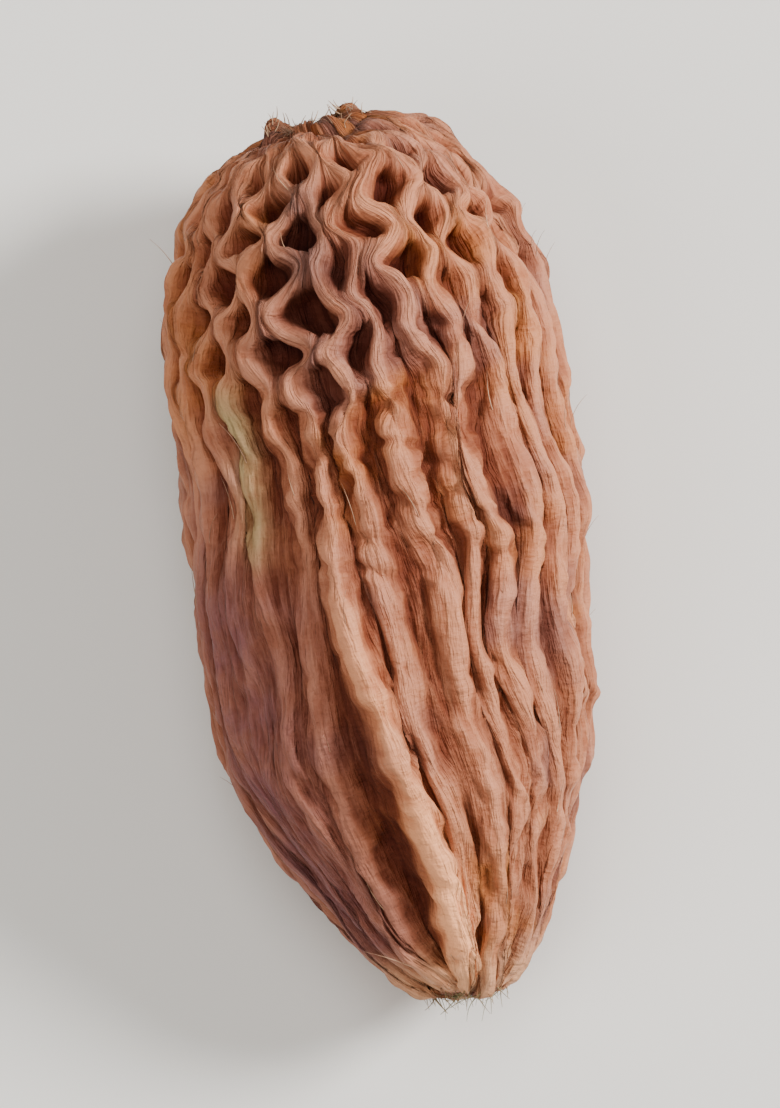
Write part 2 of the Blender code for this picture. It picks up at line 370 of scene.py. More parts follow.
# %% Where the crests run
def random_draws():
    """Every random number of the husk, one row or value for each crest."""
    generator = np.random.default_rng(SEED)
    return {
        "meander": generator.normal(0.0, NET_UNEVEN, CRESTS),
        "drift": generator.random((CRESTS, 3)),
        "slack": generator.random((CRESTS, 3)),
        "net": generator.uniform(-1.0, 1.0, CRESTS),
        "spread": generator.random((CRESTS, 3)),
        "fork": generator.random(CRESTS),
        "height": generator.random((CRESTS, 3)),
        "drop": generator.random(CRESTS),
        "sway": generator.random((CRESTS, 3)),
    }


def knitted(place, draws):
    """For each crest, 0 where it runs free and 1 where it is knitted into the net."""
    lean = NET_LEAN * np.cos(2 * math.pi * (np.arange(CRESTS) / CRESTS - NET_LEAN_TURN))
    return smoothstep(NET_FROM, NET_FULL, place[:, None] + lean + NET_RAGGED * draws["net"])


def crest_gaps(place, draws):
    """Angle from each crest to the next one, before the net pulls them about."""
    gap = np.exp(WANDER * waves(draws["spread"], place))
    fork = mix(FORK_FROM, FORK_TO, draws["fork"])
    opened = smoothstep(fork - FORK_BLEND, fork + FORK_BLEND, place[:, None])
    odd = np.arange(CRESTS) % 2 == 1
    gap *= np.where(odd, mix(FORKED_GAP, 1.0, opened), 1.0)
    gap[:, 0] *= mix(1.0, GROOVE_WIDTH, along_stretch(GROOVE_ALONG, place))
    return gap * 2 * math.pi / gap.sum(axis=1, keepdims=True)


# %% Net and crest lines
def net_phase(place, arc_length, draws):
    """How far each crest has gone through its meanders. Neighbours are half a turn apart."""
    turn = 2 * math.pi * place[:, None] * arc_length / NET_PITCH + math.pi * np.arange(CRESTS)
    return turn + draws["meander"] + NET_DRIFT * waves(draws["drift"], place)


def bridged(place, arc_length, draws):
    """For each gap, 1 where the strands beside it come together and 0 where they part."""
    phase = net_phase(place, arc_length, draws)
    following = next_crest(phase)
    following[:, -1] += math.pi * CRESTS
    return smoothstep(*NET_BRIDGES, np.cos((phase + following - math.pi) / 2))


def crest_lines(place, arc_length, draws):
    """Angle of each crest and the gap to the next one, at each place."""
    gap = crest_gaps(place, draws)
    keel = mix(KEEL_STALK_ANGLE, KEEL_FLOWER_ANGLE, smoothstep(*KEEL_TURN, place))
    angle = keel[:, None] + np.cumsum(gap, axis=1) - gap
    meander = np.cos(net_phase(place, arc_length, draws))
    slack = np.clip(1 + NET_SLACK * waves(draws["slack"], place), *SLACK_RANGE)
    sway = np.clip(SWAY * waves(draws["sway"], place), -SWING, SWING)
    sway[:, 0] *= KEEL_SWAY
    room = np.minimum(gap, np.roll(gap, 1, axis=1))
    angle += mix(sway, SWING * slack * meander, knitted(place, draws)) * room
    following = next_crest(angle)
    following[:, -1] += 2 * math.pi
    return angle, following - angle


middle_gaps = np.degrees(crest_gaps(np.array([0.5]), random_draws())[0])
print("gaps halfway along, in degrees:", middle_gaps.min().round(1), middle_gaps.max().round(1))


# %% Smooth faces, valleys and strands
def zone(stretch, middle, spread, place, theta):
    """1 in the middle of a zone of the husk, fading out round it."""
    turned = (theta - middle + math.pi) % (2 * math.pi) - math.pi
    return np.exp(-((turned / spread) ** 2)) * along_stretch(stretch, place)[:, None, None]


def roughness_left(place, theta):
    """How much of the relief is left: 1 nearly everywhere, and less on the smooth faces."""
    left = np.ones_like(theta)
    for stretch, middle, spread, loss in CALM_FACES:
        left = left * (1 - loss * zone(stretch, middle, spread, place, theta))
    return left


def valley_depths(place, width, knit):
    """How deep the husk may lie between each two crests."""
    free = mix(STALK_VALLEY_DEPTH, VALLEY_DEPTH, smoothstep(*VALLEY_TURN, place))[:, None, None]
    open_width = np.maximum(width - mix(VALLEY_WEB, NET_WEB, knit), 0.0)
    depth = np.minimum(mix(free, NET_DEPTH, knit), mix(VALLEY_SLOPE, NET_SLOPE, knit) * open_width)
    groove = along_stretch(GROOVE_ALONG, place)[:, None]
    depth[:, 0] = mix(depth[:, 0], GROOVE_DEPTH, groove)
    return depth


def cross_section(share, width, slant, knit, groove):
    """1 on a crest and 0 at the bottom of a valley, with its shape in between."""
    away = 1 - np.abs(2 * share - 1)
    fold = (0.5 + 0.5 * np.cos(math.pi * away)) ** FOLD_POWER
    off_crest = away * width / 2 / np.sqrt(1 + slant**2)
    strand = np.exp(-((off_crest / STRAND_RADIUS) ** 2))
    bank = np.exp(-((off_crest[:, :1] / GROOVE_BANK) ** 2))
    ridge = mix(fold, strand, knit)
    ridge[:, :1] = mix(ridge[:, :1], bank, groove)
    return ridge


# %% How high the skin stands
def crest_marks(place, theta, angle, radius):
    """Where the crests lie that have a colour of their own, from 0 to 1."""
    marks = {}
    for name, (number, stretch, half_width) in MARKED_CRESTS.items():
        off = (theta - angle[:, number, None, None] + math.pi) % (2 * math.pi) - math.pi
        near = np.exp(-((off * radius[:, None, None] / half_width) ** 2))
        marks[name] = near * along_stretch(stretch, place)[:, None, None]
    return marks


def relief(place, arc_at, share, angle, gap, radius, draws):
    """Height over the outline at each point, and what the finish needs to know about it."""
    knit = knitted(place, draws)
    knit = (knit + next_crest(knit))[:, :, None] / 2
    theta = angle[:, :, None] + gap[:, :, None] * share
    width = gap[:, :, None] * radius[:, None, None]
    slant = np.gradient(angle, arc_at, axis=0) * radius[:, None]
    slant = mix(slant[:, :, None], next_crest(slant)[:, :, None], share)
    groove = along_stretch(GROOVE_ALONG, place)
    ridge = cross_section(share, width, slant, knit, groove[:, None, None])
    depth = valley_depths(place, width, knit)
    depth = depth * (1 - knit * bridged(place, arc_at[-1], draws)[:, :, None])
    left = roughness_left(place, theta)
    valley = depth * left * (1 - ridge)
    odd = np.arange(CRESTS) % 2 == 1
    crest = CREST_VARIATION * waves(draws["height"], place)
    crest -= BRANCH_DROP * odd * draws["drop"] * (1 - knitted(place, draws))
    crest[:, 0] += KEEL_RISE * groove
    level = mix(crest[:, :, None], next_crest(crest)[:, :, None], share)
    height = (level - valley) * along_stretch(RELIEF_ALONG, place)[:, None, None]
    beside_keel = np.arange(CRESTS)[None, :, None] == 0
    marks = {
        "depth": valley,
        "knit": knit + 0 * ridge,
        "groove": (1 - ridge) * groove[:, None, None] * beside_keel,
        "crest": ridge**CREST_MARK_POWER * along_stretch(RELIEF_ALONG, place)[:, None, None],
    }
    return height, marks | crest_marks(place, theta, angle, radius)


# %% Torn rim and seed chambers
def torn_rim(place, theta):
    """How far the edge of the flower cup is torn back."""
    teeth = 1.0 + sum(size * np.sin(count * theta + turn) for count, size, turn in RIM_TEETH)
    return RIM_TEAR * teeth * along_stretch(RIM_ALONG, place)[:, None, None]


def fullness(theta, y):
    """The seed chambers and the hollows, as a factor on the distance from the centre line."""
    belly = np.sin(math.pi * np.clip(y / POD_LENGTH, 0.0, 1.0))
    lobes = 1 + LOBE_SHARE * belly * np.cos(3 * (theta - LOBE_ANGLE))
    first, second = (twist * 2 * math.pi * y / POD_LENGTH for twist in DENT_TWIST)
    return lobes * (1 + DENT_SHARE * belly * np.sin(2 * theta + first) * np.cos(theta - second))


# %% The whole skin
GRAIN_RADIUS = 0.0060  # the husk's usual radius, so that distances in the grain are true there
# Zones: where along the pod, and their middle and spread round it.
PLUM_FACE = ((0.04, 0.12, 0.42, 0.62), math.radians(152), math.radians(42))
# a darker patch along the top, near the flower end
DARKER_TOP_PATCH = ((0.70, 0.76, 0.83, 0.88), math.radians(106), math.radians(13))
CRUMPLED = ((0.42, 0.50, 0.66, 0.74), math.radians(88), math.radians(34))
# Stretches that run all the way round.
TIP_COLLAR = (0.030, 0.045, 0.060, 0.12)
SCAR_RIM = (0.0, 0.015, 0.040, 0.055)
CUP_RIM = (0.935, 0.945, 0.955, 0.965)
BETWEEN_ENDS = (0.0, 0.022, 0.948, 0.97)  # all but the scar and the inside of the cup


def finish_marks(place, theta):
    """Where the husk has a colour of its own, and where fibres stand, from 0 to 1."""
    everywhere = np.ones_like(theta)
    zones = {"plum": PLUM_FACE, "darker_top_patch": DARKER_TOP_PATCH, "crumple": CRUMPLED}
    marks = {name: zone(*where, place, theta) for name, where in zones.items()}
    for name, stretch in (("tip", TIP_COLLAR), ("scar", SCAR_RIM), ("cup", CUP_RIM)):
        marks[name] = along_stretch(stretch, place)[:, None, None] * everywhere
    marks["ends"] = (1 - along_stretch(BETWEEN_ENDS, place))[:, None, None] * everywhere
    return marks


def husk_skin(place, share):
    """Points of the skin and their marks, one row for each place."""
    draws = random_draws()
    arc, outline, normal = traced_outline()
    at = place * arc[-1]
    along, radius = (np.interp(at, arc, outline[:, i]) for i in (0, 1))
    lift_along, lift_across = (np.interp(at, arc, normal[:, i]) for i in (0, 1))
    angle, gap = crest_lines(place, arc[-1], draws)
    height, marks = relief(place, at, share, angle, gap, radius, draws)
    theta = angle[:, :, None] + gap[:, :, None] * share
    y = along[:, None, None] + height * lift_along[:, None, None] - torn_rim(place, theta)
    across = radius[:, None, None] * fullness(theta, y) + height * lift_across[:, None, None]
    middle = y / POD_LENGTH - 0.5
    x = across * np.cos(theta) + SIDE_BEND * np.sin(2 * math.pi * middle)
    z = across * np.sin(theta) * POD_DEPTH / POD_WIDTH + BACK_BEND * (1 - 4 * middle**2)
    turned = 2 * math.pi * (np.arange(CRESTS)[:, None] + share) / CRESTS + 0 * theta
    rolled = (GRAIN_RADIUS * np.cos(turned), GRAIN_RADIUS * np.sin(turned))
    marks["grain"] = np.stack((*rolled, at[:, None, None] + 0 * theta), axis=-1)
    marks.update(finish_marks(place, theta))
    return np.stack((x, y, z), axis=-1), marks


# %% [markdown]
# ## From the rule to a mesh
#
# Columns of points follow the crests and rows cross them, so edges run along every ridge and
# the shading stays clean. Each point also keeps marks: how far down a valley it lies, whether
# it belongs to the net, and where it lies on the grain, which is a map of the skin unrolled
# along the crests. The finish reads these marks, so its colours follow the form, and it paints
# shade down into the valleys.

# %% Build the skin
COLUMNS_PER_CREST = 12
ROWS = 270


def settled(points):
    """Tilts the points and sets them in the frame's box, down to its lowest crests."""
    x, y, z = np.moveaxis(points, -1, 0)
    cos, sin = math.cos(TILT), math.sin(TILT)
    leaning = np.stack((x, y * cos - z * sin, y * sin + z * cos), axis=-1)
    low, high = leaning.min(axis=(0, 1)), leaning.max(axis=(0, 1))
    shift = (POD_LOW + POD_HIGH - low - high) / 2
    shift[2] = POD_HIGH[2] - high[2]
    return leaning + shift


def ends_joined(values):
    """One row for each point of the mesh: the first and the last ring become one point each."""
    rows = values.reshape(ROWS + 1, CRESTS * COLUMNS_PER_CREST, -1)
    inner = rows[1:-1].reshape(-1, rows.shape[2])
    return np.concatenate((rows[0, :1], inner, rows[-1, :1]))


def skin_faces():
    """Squares between neighbouring rings, and triangles round the point at each end."""
    columns = CRESTS * COLUMNS_PER_CREST
    number = 1 + np.arange((ROWS - 1) * columns).reshape(ROWS - 1, columns)
    beside = np.roll(number, -1, axis=1)
    quads = np.stack((number[:-1], number[1:], beside[1:], beside[:-1]), axis=-1)
    last = (ROWS - 1) * columns + 1
    first_fan = [(0, a, b) for a, b in zip(number[0].tolist(), beside[0].tolist())]
    last_fan = [(last, b, a) for a, b in zip(number[-1].tolist(), beside[-1].tolist())]
    return quads.reshape(-1, 4).tolist() + first_fan + last_fan


# %% Husk mesh
def skin_mesh():
    place = np.linspace(0.0, 1.0, ROWS + 1)
    points, marks = husk_skin(place, np.arange(COLUMNS_PER_CREST) / COLUMNS_PER_CREST)
    points = settled(points.reshape(ROWS + 1, -1, 3))
    tangent = np.gradient(points, axis=0)
    marks["along"] = tangent / np.linalg.norm(tangent, axis=2, keepdims=True)
    mesh = bpy.data.meshes.new("husk")
    mesh.from_pydata(ends_joined(points).tolist(), [], skin_faces())
    for name, values in marks.items():
        listed = ends_joined(values).astype(np.float32)
        kind, field = ("FLOAT_VECTOR", "vector") if listed.shape[1] == 3 else ("FLOAT", "value")
        mesh.attributes.new(name, kind, "POINT").data.foreach_set(field, listed.ravel())
    mesh.shade_smooth()
    return mesh


husk = bpy.data.objects.new("husk", skin_mesh())
bpy.context.scene.collection.objects.link(husk)
print("husk triangles:", sum(len(face.vertices) - 2 for face in husk.data.polygons))

# %% [markdown]
# ## Running a Geometry Nodes tree
#
# The fine relief and the fibres follow the skin, so they are made by Geometry Nodes. Each tree
# has a named input for each of its sizes. The export keeps only plain meshes, so the result of
# a tree is copied to a mesh and the modifier is taken off again.


# %% Tree helpers
def new_tree(name, inputs):
    """An empty geometry tree with a named input for each size, and the sockets of its inputs."""
    tree = bpy.data.node_groups.new(name, "GeometryNodeTree")
    for label, kind in {"Geometry": "Geometry", **inputs}.items():
        tree.interface.new_socket(label, in_out="INPUT", socket_type=f"NodeSocket{kind}")
    tree.interface.new_socket("Geometry", in_out="OUTPUT", socket_type="NodeSocketGeometry")
    return tree, tree.nodes.new("NodeGroupInput").outputs


def run_tree(target, tree, values):
    """The tree's result on the object, as a plain mesh."""
    modifier = target.modifiers.new(tree.name, "NODES")
    modifier.node_group = tree
    for item in tree.interface.items_tree:
        if item.in_out == "INPUT" and item.name in values:
            modifier[item.identifier] = values[item.name]
    graph = bpy.context.evaluated_depsgraph_get()
    evaluated = target.evaluated_get(graph)
    mesh = bpy.data.meshes.new_from_object(
        evaluated, preserve_all_data_layers=True, depsgraph=graph
    )
    target.modifiers.remove(modifier)
    return mesh


# %% [markdown]
# ## Fine relief
#
# A dried husk is crumpled at every scale. Small ribs branch and meet again between the long
# crests, the crests themselves swell and sink, and the skin over it all is crinkled. One patch
# where the net starts is also creased across, and some crests break off there. The ribs and
# creases are the edges of stretched Voronoi cells, which meet and part just as such ribs do. A
# bump map could fake them, but it wouldn't show on the outline, so here they move real points.
# All of it is laid out on the grain, so that it follows the crests. The net is also pulled out
# of line a little, because no real net is even.

# %% Sizes of the fine relief
RELIEF_SIZES = {
    "Rib Spacing": 0.62 * MM,
    "Rib Height": 0.24 * MM,
    "Crinkle Spacing": 0.30 * MM,
    "Crinkle Height": 0.10 * MM,
    "Swell Spacing": 2.8 * MM,
    "Swell Height": 0.26 * MM,
    "Crease Spacing": 1.15 * MM,
    "Crease Depth": 0.20 * MM,
    "Break Spacing": 1.5 * MM,  # how far apart the breaks in a crest are
    "Break Depth": 0.34 * MM,
    "Drift Spacing": 2.4 * MM,
    "Drift": 0.9 * MM,  # how far the ribs wander off the grain
    "Warp Spacing": 1.9 * MM,
    "Warp": 1.1 * MM,  # the net is pulled about by a tenth to a third of this
    "Pit Share": 0.28,  # how much deeper the net's pits go than in the frame
}
RELIEF_MARKS = ("depth", "knit", "plum", "crumple", "crest")
# How far each layer's cells are drawn out along the grain, and how wide their edges are.
CELL_LAYERS = {"Rib": (6.0, 0.30), "Crinkle": (5.0, 0.40), "Crease": (1.4, 0.15)}
BROKEN_NOISE = (0.44, 0.60)  # from whole to fully broken off
NET_RIB_SHARE = 0.45  # how much of the ribs is left in the net
PLUM_RELIEF_SHARE = 0.55  # how much of the fine relief is left on the plum face
CREASE_PAINTED_SHADE = -0.8  # creases count as sunk, so the finish paints shade into them
LOWEST_PLACE = (-1.0, -1.0, 0.0)  # x and y are far outside the pod, so this only holds z at 0
print("sizes of the fine relief:", len(RELIEF_SIZES))


# %% Ribs, crinkles and swellings
def wandering_grain(tree, given, often):
    """The grain, bent a little, so that the ribs don't run dead along the crests."""
    grain = add(tree, READ, {"Name": "grain"}, data_type="FLOAT_VECTOR")
    drift_in = {"Vector": grain, "Scale": often["Drift"], "Detail": 0.0}
    drift = add(tree, NOISE, drift_in, out="Color")
    drift = add(tree, VECTOR, {0: drift, 1: (0.5, 0.5, 0.5)}, operation="SUBTRACT")
    drift = add(tree, VECTOR, {0: drift, "Scale": given["Drift"]}, operation="SCALE")
    return add(tree, VECTOR, {0: drift, 1: grain})


def cell_edges(tree, bent, often):
    """For each layer of cells, 1 on their edges and 0 inside them."""
    edges = {}
    for layer, (stretch, wide) in CELL_LAYERS.items():
        drawn = add(tree, VECTOR, {0: bent, 1: (1.0, 1.0, 1 / stretch)}, operation="MULTIPLY")
        cells = {"Vector": drawn, "Scale": often[layer]}
        edge = add(tree, "ShaderNodeTexVoronoi", cells, feature="DISTANCE_TO_EDGE")
        rise = {"Value": edge, "From Max": wide, "To Min": 1.0, "To Max": 0.0}
        edges[layer] = add(tree, REMAP, rise, interpolation_type="SMOOTHSTEP")
    return edges


def raised(tree, given, mark, bent, often, edges):
    """The ribs alone, and the height of ribs, crinkles and swellings together."""
    free = add(tree, REMAP, {"Value": mark["knit"], "To Min": 1.0, "To Max": NET_RIB_SHARE})
    rib = add(tree, NUMBER, {0: edges["Rib"], 1: free}, operation="MULTIPLY")
    swell = add(tree, NOISE, {"Vector": bent, "Scale": often["Swell"], "Detail": 3.0})
    swell = add(tree, NUMBER, {0: swell, 1: 0.5}, operation="SUBTRACT")
    height = add(tree, NUMBER, {0: rib, 1: given["Rib Height"]}, operation="MULTIPLY")
    for layer, size in ((edges["Crinkle"], "Crinkle Height"), (swell, "Swell Height")):
        sum_in = {0: layer, 1: given[size], 2: height}
        height = add(tree, NUMBER, sum_in, operation="MULTIPLY_ADD")
    return rib, height


# %% Creases, breaks and pits
def carved(tree, given, mark, bent, often, creased, height):
    """The height with creases, broken crests and the net's pits cut into it."""
    crease = add(tree, NUMBER, {0: creased, 1: given["Crease Depth"]}, operation="MULTIPLY")
    height = add(tree, NUMBER, {0: height, 1: crease}, operation="SUBTRACT")

    broken = add(tree, NOISE, {"Vector": bent, "Scale": often["Break"], "Detail": 1.0})
    broken = {"Value": broken, "From Min": BROKEN_NOISE[0], "From Max": BROKEN_NOISE[1]}
    broken = add(tree, REMAP, broken, interpolation_type="SMOOTHSTEP")
    for factor in (mark["crest"], mark["crumple"], given["Break Depth"]):
        broken = add(tree, NUMBER, {0: broken, 1: factor}, operation="MULTIPLY")
    height = add(tree, NUMBER, {0: height, 1: broken}, operation="SUBTRACT")

    left = add(tree, REMAP, {"Value": mark["plum"], "To Min": 1.0, "To Max": PLUM_RELIEF_SHARE})
    height = add(tree, NUMBER, {0: height, 1: left}, operation="MULTIPLY")
    pit = add(tree, NUMBER, {0: mark["depth"], 1: mark["knit"]}, operation="MULTIPLY")
    pit = add(tree, NUMBER, {0: pit, 1: given["Pit Share"]}, operation="MULTIPLY")
    return add(tree, NUMBER, {0: height, 1: pit}, operation="SUBTRACT")


def pulled_about(tree, given, knit, often):
    """Each point's place once the net is pulled out of line."""
    start = add(tree, "GeometryNodeInputPosition")
    warp_in = {"Vector": start, "Scale": often["Warp"], "Detail": 1.0}
    warp = add(tree, NOISE, warp_in, out="Color")
    warp = add(tree, VECTOR, {0: warp, 1: (0.5, 0.5, 0.5)}, operation="SUBTRACT")
    far = add(tree, NUMBER, {0: knit, 1: given["Warp"]}, operation="MULTIPLY")
    warp = add(tree, VECTOR, {0: warp, "Scale": far}, operation="SCALE")
    return add(tree, VECTOR, {0: start, 1: warp})


# %% Relief tree
def make_relief_tree():
    kinds = {**dict.fromkeys(RELIEF_SIZES, "Float"), "Material": "Material"}
    tree, given = new_tree("fine relief", kinds)
    mark = {name: add(tree, READ, {"Name": name}) for name in RELIEF_MARKS}
    often = {}
    for name in RELIEF_SIZES:
        layer, _, word = name.rpartition(" ")
        if word == "Spacing":
            often[layer] = add(tree, NUMBER, {0: 1.0, 1: given[name]}, operation="DIVIDE")
    bent = wandering_grain(tree, given, often)
    edges = cell_edges(tree, bent, often)
    rib, height = raised(tree, given, mark, bent, often, edges)
    creased = add(tree, NUMBER, {0: edges["Crease"], 1: mark["crumple"]}, operation="MULTIPLY")
    height = carved(tree, given, mark, bent, often, creased, height)

    # Each point moves along its normal, and nothing goes through the floor.
    normal = add(tree, "GeometryNodeInputNormal")
    offset = add(tree, VECTOR, {0: normal, "Scale": height}, operation="SCALE")
    moved = add(tree, VECTOR, {0: pulled_about(tree, given, mark["knit"], often), 1: offset})
    moved = add(tree, VECTOR, {0: moved, 1: LOWEST_PLACE}, operation="MAXIMUM")
    body = {"Geometry": given["Geometry"], "Position": moved}
    body = add(tree, "GeometryNodeSetPosition", body)

    # The finish paints light on the fine ribs and paints shade into the creases.
    fine = add(tree, NUMBER, {0: rib, 1: edges["Crinkle"]})
    fine = add(tree, NUMBER, {0: creased, 1: CREASE_PAINTED_SHADE, 2: fine}, operation="MULTIPLY_ADD")
    body = {"Geometry": body, "Name": "fine", "Value": fine}
    body = add(tree, "GeometryNodeStoreNamedAttribute", body, data_type="FLOAT", domain="POINT")
    body = add(tree, "GeometryNodeRealizeInstances", {"Geometry": body})
    body = {"Geometry": body, "Material": given["Material"]}
    add(tree, "NodeGroupOutput", {"Geometry": add(tree, "GeometryNodeSetMaterial", body)})
    return tree


relief_tree = make_relief_tree()
print("nodes in the relief tree:", len(relief_tree.nodes))

# %% [markdown]
# ## Finish of the husk
#
# The material is a dry, fibrous fruit husk, something between bark and thick paper. Its outer
# skin is tan where it stands proud, and painted shade turns it to a deep maroon brown down in
# the valleys. Hues differ from place to place: the face left of the keel is plum coloured, the
# keel is pale, and one ridge on the left stayed straw green. So the colour is made in two steps,
# a hue that follows these places and a painted shade that follows the depth, and one is
# multiplied by the other. Crest tops are paler from wear and carry painted highlights; the fine
# ribs and the keel near the tip carry painted highlights too, and the creases painted shade.
# Fibres add fine streaks along the crests. A painted picture could hold all this too, but it
# would be tied to one shape, and these rules fit any.

# %% Colours of the husk
CREST_HUE = "#a96b4d"
# Blotches: each one's hue, its size in mm, and the noise at which it starts and is full.
PATCH_HUES = (("#a9652f", 3.2, 0.50, 0.66), ("#855a52", 4.1, 0.50, 0.64))
PATCH_SHARE = 0.8
# Places with a hue of their own: the mark that they follow, the hue, and how far it covers.
PLACE_HUES = (
    # crest tops: paler from wear, with a painted highlight on top of that
    ("crest", "#cd8763", 0.65),
    ("plum", "#7c4a49", 1.0),
    # a darker patch along the top, near the flower end
    ("darker_top_patch", "#6d4a44", 0.85),
    ("groove", "#7c4022", 0.80),
    ("keel", "#e0966a", 0.90),
    # the keel near the tip: paler still, with a painted highlight
    ("painted_keel_highlight", "#ffb07c", 1.0),
    ("straw", "#ab9767", 0.90),
    ("tip", "#e2a97c", 0.65),
    ("ends", "#66523a", 0.85),
)
# Painted shade and light, from the deepest valley to the lightest crest: each one is multiplied by
# the hue.
PAINTED_SHADE_RAMP = (
    (0.0, "#4e2415"),
    (0.30, "#7a4c38"),
    (0.60, "#ab8977"),
    (0.85, "#e6d8cf"),
    (1.0, "#ffffff"),
)
FULL_SHADE_DEPTH = 0.80 * MM  # the painted shade is darkest in a valley as deep as this
# painted light on a crest top and painted shade at a valley's bottom, before the layers below
PAINTED_CREST_LIGHT, PAINTED_VALLEY_SHADE = 0.355, -0.245
# What is added to that light, and how much of it. Fine, crest and the keel near the tip add
# painted highlights, fine also paints shade into the creases, groove takes back some painted
# shade beside the keel, and streak, cloud and pore are the skin's own uneven tone.
TONE_AND_PAINTED_LIGHT_LAYERS = (
    ("fine", 0.13),
    ("crest", 0.10),
    ("crumple", 0.07),
    ("streak", 0.24),
    ("cloud", 0.36),
    ("pore", 0.16),
    ("groove", 0.16),
    ("painted_keel_highlight", 0.14),
)
print("places with a hue of their own:", [name for name, _, _ in PLACE_HUES])

# %% Grain of the husk
STREAK_WIDTH = 0.14 * MM  # a bundle of fibres
STREAK_STRETCH = 14.0
STREAK_NOISE = (0.36, 0.64)
CLOUD_WIDTH = 1.6 * MM
PORE_WIDTH = 0.15 * MM
UNEVEN_NOISE = (0.3, 0.6)
LEAST_HUE = 0.5  # the clouds leave at least this much of a place's own hue
print("a streak in mm:", STREAK_WIDTH / MM, "by", round(STREAK_WIDTH * STREAK_STRETCH / MM, 2))


def husk_grain(tree, grain):
    """Fibre streaks along the crests, soft clouds, and pores, each from 0 to 1."""
    drawn = {0: grain, 1: (1.0, 1.0, 1 / STREAK_STRETCH)}
    drawn = add(tree, VECTOR, drawn, operation="MULTIPLY")
    streak = {"Vector": drawn, "Scale": 1 / STREAK_WIDTH, "Detail": 3.0, "Roughness": 0.6}
    streak = add(tree, NOISE, streak)
    streak = {"Value": streak, "From Min": STREAK_NOISE[0], "From Max": STREAK_NOISE[1]}
    cloud = {"Vector": grain, "Scale": 1 / CLOUD_WIDTH, "Detail": 4.0, "Roughness": 0.6}
    pore = {"Vector": grain, "Scale": 1 / PORE_WIDTH, "Detail": 2.0}
    return {
        "streak": add(tree, REMAP, streak),
        "cloud": add(tree, NOISE, cloud),
        "pore": add(tree, NOISE, pore),
    }


# %% Shade and hue of the husk
def husk_tone_and_painted_light(tree, mark):
    """Painted shade in the valleys and creases, painted light on crests and ribs, and the skin's
    tone.
    """
    light = {"Value": mark["depth"], "From Max": FULL_SHADE_DEPTH}
    light = add(tree, REMAP, {**light, "To Min": PAINTED_CREST_LIGHT, "To Max": PAINTED_VALLEY_SHADE})
    for layer, share in TONE_AND_PAINTED_LIGHT_LAYERS:
        sum_in = {0: mark[layer], 1: share, 2: light}
        light = add(tree, NUMBER, sum_in, operation="MULTIPLY_ADD")
    return light


def husk_hue(tree, grain, mark):
    """The hue: blotches first, then the places that have a hue of their own."""
    hue = srgb(CREST_HUE)
    for code, size, low, high in PATCH_HUES:
        patch = {"Vector": grain, "Scale": 1 / (size * MM), "Detail": 3.0}
        patch = {"Value": add(tree, NOISE, patch), "From Min": low, "From Max": high}
        patch = {**patch, "To Max": PATCH_SHARE}
        patch = add(tree, REMAP, patch, interpolation_type="SMOOTHSTEP")
        hue = add(tree, BLEND, {0: patch, 6: hue, 7: srgb(code)}, out=2, data_type="RGBA")
    uneven = {"Value": mark["cloud"], "From Min": UNEVEN_NOISE[0], "From Max": UNEVEN_NOISE[1]}
    uneven = add(tree, REMAP, {**uneven, "To Min": LEAST_HUE})
    for name, code, share in PLACE_HUES:
        here = add(tree, NUMBER, {0: mark[name], 1: share}, operation="MULTIPLY")
        here = add(tree, NUMBER, {0: here, 1: uneven}, operation="MULTIPLY")
        hue = add(tree, BLEND, {0: here, 6: hue, 7: srgb(code)}, out=2, data_type="RGBA")
    return hue


# %% Husk material
CREST_ROUGHNESS, VALLEY_ROUGHNESS = 0.54, 0.85
VALLEY_SHADE = 0.2  # skin this dark or darker is at its roughest
PORE_GRIT = 0.9
GRIT_HEIGHT = 0.09 * MM
DUSTY_SPECULAR = 0.16  # a dusty skin hardly mirrors the light


def make_husk_material():
    """Dried fruit husk, as it grew: matte from fibres and dust, with a faint sheen on crests."""
    material, tree, shader = new_material("dried husk")
    grain = add(tree, "ShaderNodeAttribute", attribute_name="grain", out="Vector")
    mark = husk_grain(tree, grain)
    for name in ("depth", "fine", "crumple", *(name for name, _, _ in PLACE_HUES)):
        mark[name] = add(tree, "ShaderNodeAttribute", attribute_name=name, out="Fac")
    # Painted shade and light with the skin's tone; as a colour it multiplies the hue.
    light = husk_tone_and_painted_light(tree, mark)
    shade = add(tree, "ShaderNodeValToRGB", {"Fac": light}, stops=PAINTED_SHADE_RAMP)
    colour = {0: 1.0, 6: husk_hue(tree, grain, mark), 7: shade}
    colour = add(tree, BLEND, colour, out=2, data_type="RGBA", blend_type="MULTIPLY")
    tree.links.new(colour, shader.inputs["Base Color"])

    # Crests are worn smoother than valleys.
    rough = {"Value": light, "From Min": VALLEY_SHADE}
    rough = {**rough, "To Min": VALLEY_ROUGHNESS, "To Max": CREST_ROUGHNESS}
    tree.links.new(add(tree, REMAP, rough), shader.inputs["Roughness"])
    grit = {0: mark["pore"], 1: PORE_GRIT, 2: mark["streak"]}
    grit = add(tree, NUMBER, grit, operation="MULTIPLY_ADD")
    bump = add(tree, "ShaderNodeBump", {"Height": grit, "Strength": 1.0, "Distance": GRIT_HEIGHT})
    tree.links.new(bump, shader.inputs["Normal"])
    shader.inputs["Specular IOR Level"].default_value = DUSTY_SPECULAR
    return material


husk.data = run_tree(husk, relief_tree, {**RELIEF_SIZES, "Material": make_husk_material()})
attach(husk, "root")
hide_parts("pod")
print("attributes kept:", [a.name for a in husk.data.attributes if not a.name.startswith(".")])

